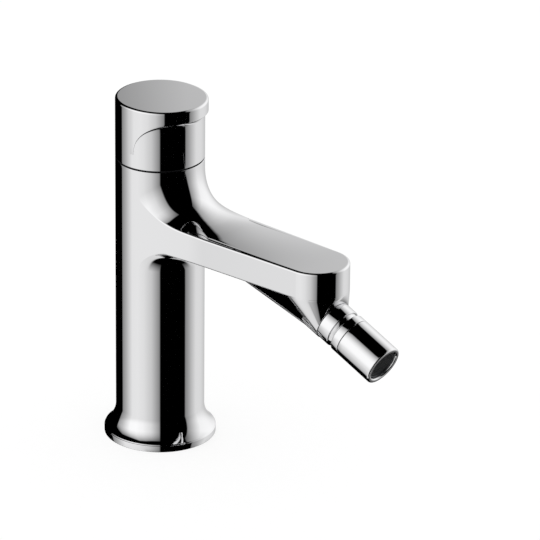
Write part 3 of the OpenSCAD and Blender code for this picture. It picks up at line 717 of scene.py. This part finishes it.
def recess_top(turn, handle):
    """Height of the finger recess's upper edge at an angle from the front."""
    ceiling = handle.top_height - handle.lip_height
    share = (abs(turn) - handle.flat_angle) / (handle.end_angle - handle.flat_angle)
    share = min(1.0, max(0.0, share))
    return ceiling - handle.round_height * (1 - math.sqrt(1 - share ** 2))


def handle_profile(turn, body, handle):
    """(radius, height) points of the handle's skin at an angle from the front."""
    r = body.column_radius
    pivot = body.seam_height + handle.pivot_rise
    skirt = math.hypot(r, handle.pivot_rise) - handle.seam_gap
    soft = handle.edge_round
    cavity = r - handle.wall
    skirt_edge = pivot - math.sqrt(skirt ** 2 - r ** 2)
    lip = lip_radius(turn, body, handle)
    edge = recess_top(turn, handle)
    depth = lip - r
    hollow_share, round_share, flat = 0.75, 0.24, 0.1 * MM
    hollow, drop = depth * hollow_share, handle.fillet * depth / handle.lip_out
    round_r = min(soft, depth * round_share)
    roof = handle.top_height - handle.roof
    points = [(0, roof), (cavity, roof), (cavity, pivot)]
    inner = math.degrees(math.acos(cavity / skirt))
    bead = handle.seam_round / 2
    outer = math.degrees(math.acos((r - bead) / skirt))
    points += arc((0, pivot), skirt, -inner, -outer, 8)
    points += arc((r - bead, skirt_edge + bead), bead, -30, 0, 4)
    low = skirt_edge + bead
    high = edge - drop
    points += [(r, low + (high - low) * i / 10) for i in range(1, 10)]
    for i in range(13):
        bend = math.pi / 2 * i / 12
        points.append((r + hollow * (1 - math.cos(bend)), edge - drop * (1 - math.sin(bend))))
    points += arc((lip - round_r, edge + round_r), round_r, -90, 0, 6)
    rim = handle.rim_round
    low, high = edge + round_r, handle.top_height - rim
    points += [(lip, low + (high - low) * i / 6) for i in range(1, 6)] + [(lip, high - flat)]
    points += arc((lip - rim, high), rim, 0, 90, 10)
    points += [(lip - rim - flat, handle.top_height), (0, handle.top_height)]
    return points


class MIXER_OT_handle(bpy.types.Operator):
    """Build the lift-and-turn handle with its finger lip"""

    bl_idname = "mixer.handle"
    bl_label = "Handle"

    def execute(self, context):
        body, handle = context.scene.mixer_body, context.scene.mixer_handle
        mesh = bmesh.new()
        columns = []
        count = 360
        for i in range(count + 1):
            turn = math.pi * (2 * i / count - 1)
            profile = handle_profile(turn, body, handle)
            columns.append([Vector((p * math.sin(turn), -p * math.cos(turn), z)) for p, z in profile])
        add_grid(mesh, columns)
        piece = finish_mesh(mesh, "lever_handle", polished_chrome(), "handle")
        # Painted shade: the skirt's downward faces just above the seam get the seam's dark grey
        skirt_top, facing_down = body.seam_height + 1 * MM, -0.25
        paint_seam_shade(piece, lambda at, normal: at.z < skirt_top and normal.z < facing_down)
        mark_sharp(piece, 40)
        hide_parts("handle_shell")
        return {"FINISHED"}


def turned_piece(name, profile, outlet, body, material):
    """A closed turned piece on the outlet's axis."""
    mesh = bmesh.new()
    add_lathe(mesh, profile + profile[:1], full_turn(TURNED_STEPS), outlet_place(outlet))
    piece = finish_mesh(mesh, name, material, body)
    mark_sharp(piece, 35)
    return piece


def collar_profile(o):
    """(radius, along) points of the collar: a spigot in the boss, and a mouth hollowed for the ball."""
    soft, ball = TURNED_ROUND, o.ball_radius + 0.1 * MM
    spigot_depth, seat_gap = 7 * MM, 0.12 * MM
    spigot, bore = o.collar_radius - 1.1 * MM, o.collar_radius - 2.1 * MM
    end = o.collar_length
    rise = end - o.ball_along
    points = [(bore, -spigot_depth), (spigot, -spigot_depth), (spigot, seat_gap)]
    points += arc((o.collar_radius - soft, seat_gap + soft), soft, -90, 0, 6)
    points += arc((o.collar_radius - 2 * soft, end - 2 * soft), 2 * soft, 0, 60, 6)
    points += [(math.sqrt(ball ** 2 - rise ** 2), end)]
    low = math.degrees(math.asin(rise / ball))
    high = -math.degrees(math.acos(bore / ball))
    return points + arc((0, o.ball_along), ball, low, high, 16)[1:]


def knuckle_profile(o):
    """(radius, along) points of the ball with its shoulder ring and its thread."""
    soft, tail_depth, neck_sink = TURNED_ROUND, 6.2 * MM, 0.05 * MM
    thread, thread_end = o.nozzle_radius - 1.7 * MM, o.sleeve_along + 5.7 * MM
    tail_angle = -math.degrees(math.asin(tail_depth / o.ball_radius))
    neck_angle = math.degrees(math.asin((o.shoulder_along - o.ball_along - neck_sink) / o.ball_radius))
    shoulder_end = o.shoulder_along + o.shoulder_length
    points = [(OUTLET_BORE, o.ball_along - tail_depth)]
    points += arc((0, o.ball_along), o.ball_radius, tail_angle, neck_angle, 40)
    points += arc((o.nozzle_radius - 2 * soft, o.shoulder_along + 2 * soft), 2 * soft, -90, 0, 6)
    points += arc((o.nozzle_radius - soft, shoulder_end - soft), soft, 0, 90, 5)
    return points + [(thread, shoulder_end), (thread, thread_end), (OUTLET_BORE, thread_end)]


def sleeve_profile(o):
    """(radius, along) points of the nozzle's sleeve with its rounded mouth."""
    soft, rim = TURNED_ROUND, 0.9 * MM
    mouth = o.sleeve_along + o.sleeve_length
    lip, bore = mouth - 2.6 * MM, o.nozzle_radius - 1.5 * MM
    points = [(bore, lip), (bore, o.sleeve_along)]
    points += arc((o.nozzle_radius - soft, o.sleeve_along + soft), soft, -90, 0, 5)
    points += [(o.nozzle_radius, o.sleeve_along + o.sleeve_length * i / 8) for i in range(1, 8)]
    points += arc((o.nozzle_radius - rim, mouth - rim), rim, 0, 90, 12)
    points += arc((o.mouth_radius + rim, mouth - rim), rim, 90, 180, 12)
    return points + [(o.mouth_radius, lip)]


class MIXER_OT_outlet(bpy.types.Operator):
    """Build the swivel collar, ball and nozzle sleeve"""

    bl_idname = "mixer.outlet"
    bl_label = "Swivel outlet"

    def execute(self, context):
        o = context.scene.mixer_outlet
        chrome = polished_chrome()
        piece = turned_piece("collar_ring", collar_profile(o), o, "column", chrome)
        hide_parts("swivel_collar")
        piece = turned_piece("ball_knuckle", knuckle_profile(o), o, "nozzle", chrome)
        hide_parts("swivel_ball")
        piece = turned_piece("nozzle_tube", sleeve_profile(o), o, "nozzle", chrome)
        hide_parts("nozzle_sleeve")
        return {"FINISHED"}


class MIXER_OT_mesh(bpy.types.Operator):
    """Weave the fine wire mesh in the nozzle's mouth"""

    bl_idname = "mixer.mesh"
    bl_label = "Nozzle mesh"

    def execute(self, context):
        o = context.scene.mixer_outlet
        mesh = bmesh.new()
        place = outlet_place(o) @ Matrix.Rotation(math.radians(45), 4, "Z")
        gap, ring = 0.1 * MM, 0.3 * MM
        rim = o.mouth_radius - gap
        level = o.sleeve_along + o.sleeve_length - o.mesh_depth - ring
        wire = o.mesh_wire / 2
        count = int(rim / o.mesh_pitch)
        for across in (False, True):
            for k in range(-count, count + 1):
                offset = k * o.mesh_pitch
                half = math.sqrt(rim ** 2 - offset ** 2)
                steps = max(4, int(2 * half / o.mesh_pitch * 4))
                over = 1 if (k % 2 == 0) != across else -1
                rows = []
                for i in range(steps + 1):
                    along = half * (2 * i / steps - 1)
                    wave = wire * math.cos(math.pi * along / o.mesh_pitch) * over
                    loop = []
                    for t in full_turn(6):
                        side, up = offset + wire * math.cos(t), level + wave + wire * math.sin(t)
                        loop.append(place @ Vector((along, side, up) if across else (side, along, up)))
                    rows.append(loop)
                add_grid(mesh, rows)
        add_lathe(mesh, arc((rim - ring, level), ring, 0, 360, 10), full_turn(96), place)
        piece = finish_mesh(mesh, "woven_mesh", stainless_wire(), "nozzle")
        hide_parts("aerator_mesh")
        return {"FINISHED"}


class MIXER_OT_inner(bpy.types.Operator):
    """Give the pieces inside their finishes"""

    bl_idname = "mixer.inner"
    bl_label = "Inner pieces"

    def execute(self, context):
        colours = finish_colours()
        by_slot = {
            # Black that swallows light, with a faint moulding grain
            "black_rubber": moulded("nitrile_rubber", colours.rubber, 0.62, 0.3, 0.2),
            # Milky, half-matt plastics with soft highlights
            "white_plastic": moulded("white_acetal", colours.white_acetal, 0.42, 0.5, 0.08),
            "grey_plastic": moulded("grey_acetal", colours.grey_acetal, 0.45, 0.5, 0.08),
            # Lapped ivory ceramic with a tight sheen
            "ceramic": moulded("lapped_alumina", colours.alumina, 0.18, 0.2, 0.02),
            # Warm and cool turned metals, blurred by fine tool marks
            "brass": moulded("turned_brass", colours.brass, 0.28, 0.3, 0.06, 1.0),
            "steel": moulded("stainless_steel", colours.steel, 0.3, 0.3, 0.05, 1.0),
            "polished_chrome": polished_chrome(),
            "steel_mesh": stainless_wire(),
        }
        for part in frame["record"]["subparts"]:
            shade_node(frame["nodes"][part["node"]], by_slot[part["material_slot"]])
        return {"FINISHED"}


class MIXER_OT_stage(bpy.types.Operator):
    """Set the floor, the studio light and the camera"""

    bl_idname = "mixer.stage"
    bl_label = "Stage"

    def execute(self, context):
        scene = context.scene
        scene.view_settings.view_transform = "Standard"
        self.add_floor(scene)
        self.add_world(scene)
        self.add_camera(scene)
        return {"FINISHED"}

    def add_floor(self, scene):
        """A pale floor that keeps the mixer's shadow and is clear to the chrome's reflections."""
        half, glow_strength, glow_share = 6.0, 1.05, 0.75
        mesh = bmesh.new()
        add_grid(mesh, [[Vector((x, y, 0)) for x in (-half, half)] for y in (-half, half)])
        data = bpy.data.meshes.new("floor")
        mesh.to_mesh(data)
        mesh.free()
        floor = bpy.data.objects.new("floor", data)
        scene.collection.objects.link(floor)
        material, tree, output = new_material("pale_floor")
        path = add_node(tree, "ShaderNodeLightPath")
        paint = add_node(tree, "ShaderNodeBsdfDiffuse", {"Color": finish_colours().floor})
        glow = add_node(tree, "ShaderNodeEmission", {"Strength": glow_strength})
        lit = add_node(
            tree, "ShaderNodeMixShader", {"Fac": glow_share}, {1: paint.outputs[0], 2: glow.outputs[0]}
        )
        clear = add_node(tree, "ShaderNodeBsdfTransparent")
        seen = add_node(
            tree, "ShaderNodeMixShader", None,
            {"Fac": path.outputs["Is Glossy Ray"], 1: lit.outputs[0], 2: clear.outputs[0]},
        )
        tree.links.new(seen.outputs[0], output.inputs["Surface"])
        data.materials.append(material)

    def add_world(self, scene):
        """White to the camera; to the chrome, two soft panels with dark gaps between and above them."""
        world = bpy.data.worlds.new("studio")
        scene.world = world
        world.use_nodes = True
        world.cycles.sampling_method = "NONE"
        tree = world.node_tree
        tree.nodes.clear()
        output = add_node(tree, "ShaderNodeOutputWorld")
        place = add_node(tree, "ShaderNodeTexCoord")
        parts = add_node(tree, "ShaderNodeSeparateXYZ", None, {0: place.outputs["Generated"]})
        around = add_node(
            tree, "ShaderNodeMath", None, {0: parts.outputs["Y"], 1: parts.outputs["X"]}, operation="ARCTAN2"
        )
        turn = add_node(
            tree, "ShaderNodeMapRange", {"From Min": -math.pi, "From Max": math.pi},
            {"Value": around.outputs[0]},
        )
        height = add_node(tree, "ShaderNodeMath", None, {0: parts.outputs["Z"]}, operation="ARCSINE")
        beside = add_ramp(tree, turn.outputs[0], [((a + 180) / 360, b) for a, b, top in PANEL_STOPS])
        below = add_ramp(tree, turn.outputs[0], [((a + 180) / 360, b) for a, b in LOW_STOPS])
        shallow, deep = (math.radians(degrees) for degrees in LOW_BLEND)
        depth = add_node(
            tree, "ShaderNodeMapRange", {"From Min": shallow, "From Max": deep}, {"Value": height.outputs[0]}
        )
        glow = add_node(
            tree, "ShaderNodeMix", None, {"Factor": depth.outputs[0], "A": beside, "B": below},
            data_type="FLOAT",
        ).outputs[0]
        edge = add_ramp(tree, turn.outputs[0], [((a + 180) / 360, top / 90) for a, b, top in PANEL_STOPS])
        edge_height = add_node(tree, "ShaderNodeMath", {1: math.pi / 2}, {0: edge}, operation="MULTIPLY")
        share = add_node(
            tree, "ShaderNodeMath", None, {0: height.outputs[0], 1: edge_height.outputs[0]},
            operation="DIVIDE",
        )
        low, high = PANEL_FADE[0][0], PANEL_FADE[-1][0]
        scaled = add_node(
            tree, "ShaderNodeMapRange", {"From Min": low, "From Max": high}, {"Value": share.outputs[0]}
        )
        fade = add_ramp(tree, scaled.outputs[0], [((h - low) / (high - low), b) for h, b in PANEL_FADE])
        light = add_node(tree, "ShaderNodeMath", None, {0: glow, 1: fade}, operation="MULTIPLY")
        path = add_node(tree, "ShaderNodeLightPath")
        studio = add_node(tree, "ShaderNodeBackground", None, {"Color": light.outputs[0]})
        white = add_node(tree, "ShaderNodeBackground", {"Color": (1, 1, 1, 1)})
        seen = add_node(
            tree, "ShaderNodeMixShader", None,
            {"Fac": path.outputs["Is Glossy Ray"], 1: white.outputs[0], 2: studio.outputs[0]},
        )
        tree.links.new(seen.outputs[0], output.inputs["Surface"])

    def add_camera(self, scene):
        """The camera of the photo, found from the column's and the foot's outlines."""
        azimuth, elevation, distance = math.radians(-47.5), math.radians(23.62), 2.7216
        target = Vector((0, 0, 0.0904))
        data = bpy.data.cameras.new("photo_camera")
        data.sensor_width = 36.0
        data.lens = 351.9
        data.shift_x = 0.2035
        data.clip_end = 100.0
        camera = bpy.data.objects.new("photo_camera", data)
        level = distance * math.cos(elevation)
        rise = distance * math.sin(elevation)
        offset = Vector((level * math.sin(azimuth), -level * math.cos(azimuth), rise))
        camera.location = target + offset
        camera.rotation_euler = (-offset).to_track_quat("-Z", "Y").to_euler()
        scene.collection.objects.link(camera)
        scene.camera = camera


class MIXER_PT_panel(bpy.types.Panel):
    """Lists the steps that build the mixer"""

    bl_idname = "MIXER_PT_panel"
    bl_label = "Bidet mixer"
    bl_space_type = "VIEW_3D"
    bl_region_type = "UI"
    bl_category = "Mixer"

    def draw(self, context):
        for operator in OPERATORS:
            self.layout.operator(operator.bl_idname)


OPERATORS = (MIXER_OT_body, MIXER_OT_handle, MIXER_OT_outlet, MIXER_OT_mesh, MIXER_OT_inner, MIXER_OT_stage)
GROUPS = {
    "mixer_body": BodySizes, "mixer_handle": HandleSizes,
    "mixer_outlet": OutletSizes, "mixer_finish": FinishColours,
}


def register():
    """Registers the property groups, operators and panel."""
    for name, group in GROUPS.items():
        bpy.utils.register_class(group)
        setattr(bpy.types.Scene, name, PointerProperty(type=group))
    for cls in OPERATORS + (MIXER_PT_panel,):
        bpy.utils.register_class(cls)


def unregister():
    """Takes the classes and property groups away again."""
    for cls in (MIXER_PT_panel,) + OPERATORS:
        bpy.utils.unregister_class(cls)
    for name, group in GROUPS.items():
        delattr(bpy.types.Scene, name)
        bpy.utils.unregister_class(group)


def main():
    """Builds the mixer."""
    register()
    bpy.ops.mixer.inner()
    bpy.ops.mixer.body()
    bpy.ops.mixer.handle()
    bpy.ops.mixer.outlet()
    bpy.ops.mixer.mesh()
    bpy.ops.mixer.stage()


if __name__ == "__main__":
    main()
